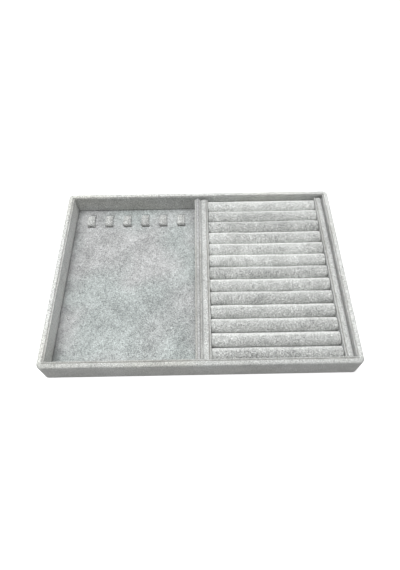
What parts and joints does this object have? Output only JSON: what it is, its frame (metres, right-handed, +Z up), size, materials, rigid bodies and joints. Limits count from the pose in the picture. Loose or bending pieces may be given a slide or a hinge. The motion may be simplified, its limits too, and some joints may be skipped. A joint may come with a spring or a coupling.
{
  "type": "jewellery tray",
  "caption": "Velvet-covered rectangular jewellery tray: a flat lift-out necklace pad with arched hook straps beside a lift-out insert of padded ring rolls held between rails.",
  "frame": {"origin": "centre of the underside, on the surface that the tray stands on", "axes": "+X to the right along the long side, with the ring insert on the +X side; +Y to the back edge, where the hook straps are; +Z up"},
  "size_m": [0.35, 0.24, 0.032],
  "materials": {
    "wrap_velvet": "light grey short-pile velvet",
    "liner_velvet": "light grey short-pile velvet",
    "pad_velvet": "light grey short-pile velvet, crushed nap",
    "roll_velvet": "light grey short-pile velvet",
    "strap_velvet": "light grey short-pile velvet",
    "sheet_velvet": "light grey short-pile velvet",
    "greyboard": "raw greyboard",
    "fibreboard": "raw fibreboard",
    "foam": "soft open-cell foam"
  },
  "bodies": {
    "tray": {"back_liner_board": "greyboard", "back_liner_cover": "liner_velvet", "back_wall_board": "fibreboard", "base_board": "fibreboard", "divider_board": "fibreboard", "divider_left_liner_board": "greyboard", "divider_left_liner_cover": "liner_velvet", "divider_right_liner_board": "greyboard", "divider_right_liner_cover": "liner_velvet", "divider_wrap": "wrap_velvet", "front_liner_board": "greyboard", "front_liner_cover": "liner_velvet", "front_wall_board": "fibreboard", "left_liner_board": "greyboard", "left_liner_cover": "liner_velvet", "left_wall_board": "fibreboard", "necklace_floor_lining": "sheet_velvet", "outer_wrap": "wrap_velvet", "right_liner_board": "greyboard", "right_liner_cover": "liner_velvet", "right_wall_board": "fibreboard", "ring_floor_lining": "sheet_velvet", "underside_sheet": "sheet_velvet"},
    "necklace_pad": {"pad_board": "greyboard", "pad_cover": "pad_velvet", "hook_strap_1": "strap_velvet", "hook_strap_2": "strap_velvet", "hook_strap_3": "strap_velvet", "hook_strap_4": "strap_velvet", "hook_strap_5": "strap_velvet", "hook_strap_6": "strap_velvet"},
    "ring_insert": {"insert_underside_sheet": "sheet_velvet", "insert_base_board": "greyboard", "left_rail_board": "greyboard", "left_rail_wrap": "wrap_velvet", "left_rail_liner_board": "greyboard", "left_rail_liner_cover": "liner_velvet", "right_rail_board": "greyboard", "right_rail_wrap": "wrap_velvet", "right_rail_liner_board": "greyboard", "right_rail_liner_cover": "liner_velvet", "roll_foam_cores": "foam", "ring_roll_cover_01": "roll_velvet", "ring_roll_cover_02": "roll_velvet", "ring_roll_cover_03": "roll_velvet", "ring_roll_cover_04": "roll_velvet", "ring_roll_cover_05": "roll_velvet", "ring_roll_cover_06": "roll_velvet", "ring_roll_cover_07": "roll_velvet", "ring_roll_cover_08": "roll_velvet", "ring_roll_cover_09": "roll_velvet", "ring_roll_cover_10": "roll_velvet", "ring_roll_cover_11": "roll_velvet", "ring_roll_cover_12": "roll_velvet", "ring_roll_cover_13": "roll_velvet"}
  },
  "joints": [
    {"name": "pad_lift", "type": "slide", "parent": "tray", "child": "necklace_pad", "axis": [0, 0, 1], "range_m": [0, 0.035]},
    {"name": "insert_lift", "type": "slide", "parent": "tray", "child": "ring_insert", "axis": [0, 0, 1], "range_m": [0, 0.035]}
  ]
}
